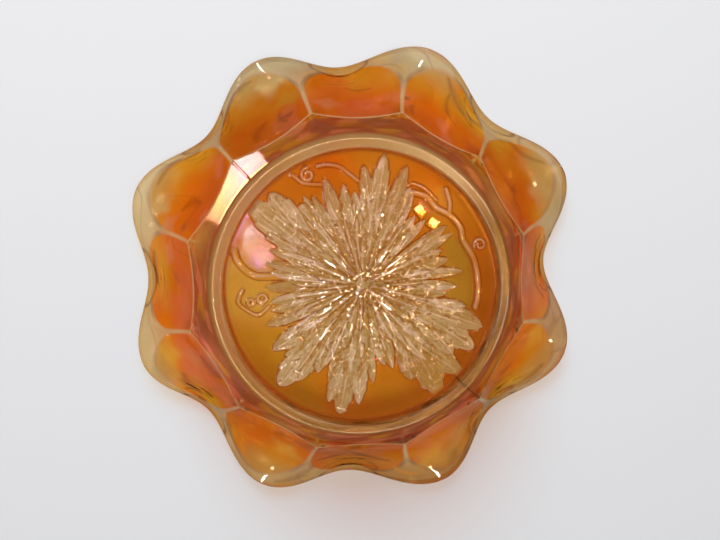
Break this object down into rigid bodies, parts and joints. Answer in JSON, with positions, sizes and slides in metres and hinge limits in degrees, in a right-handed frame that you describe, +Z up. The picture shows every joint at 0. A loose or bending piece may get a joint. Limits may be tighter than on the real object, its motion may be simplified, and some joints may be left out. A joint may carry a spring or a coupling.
{
  "type": "ruffled glass bowl",
  "caption": "Round pressed-glass bowl with a ruffled rim, a fluted outer wall, a low foot ring and a flower with leaves and tendrils moulded in relief under its base.",
  "frame": {"origin": "centre of the circle that the foot ring rests on", "axes": "+Z up through the open mouth; +X and +Y level; one ruffle of the rim lies 22 degrees from +X towards +Y"},
  "size_m": [0.1976, 0.1976, 0.06],
  "materials": {
    "marigold_glass": "iridescent",
    "foot_glass": "glossy",
    "rim_glass": "glossy",
    "relief_glass": "glossy"
  },
  "bodies": {
    "root": {"foot_ring": "foot_glass", "base_disc": "marigold_glass", "fluted_wall": "marigold_glass", "ruffled_rim": "rim_glass", "mould_seams": "foot_glass", "flower_centre": "relief_glass", "inner_petals": "relief_glass", "middle_petals": "relief_glass", "outer_petals": "relief_glass", "upper_left_leaf": "relief_glass", "upper_leaf": "relief_glass", "top_leaf": "relief_glass", "right_leaf": "relief_glass", "lower_right_leaf": "relief_glass", "bottom_leaf": "relief_glass", "lower_left_leaf": "relief_glass", "left_stem": "relief_glass", "left_tendril": "relief_glass", "top_tendril": "relief_glass", "right_vine": "relief_glass", "right_branch": "relief_glass", "right_curl": "relief_glass"}
  },
  "joints": []
}
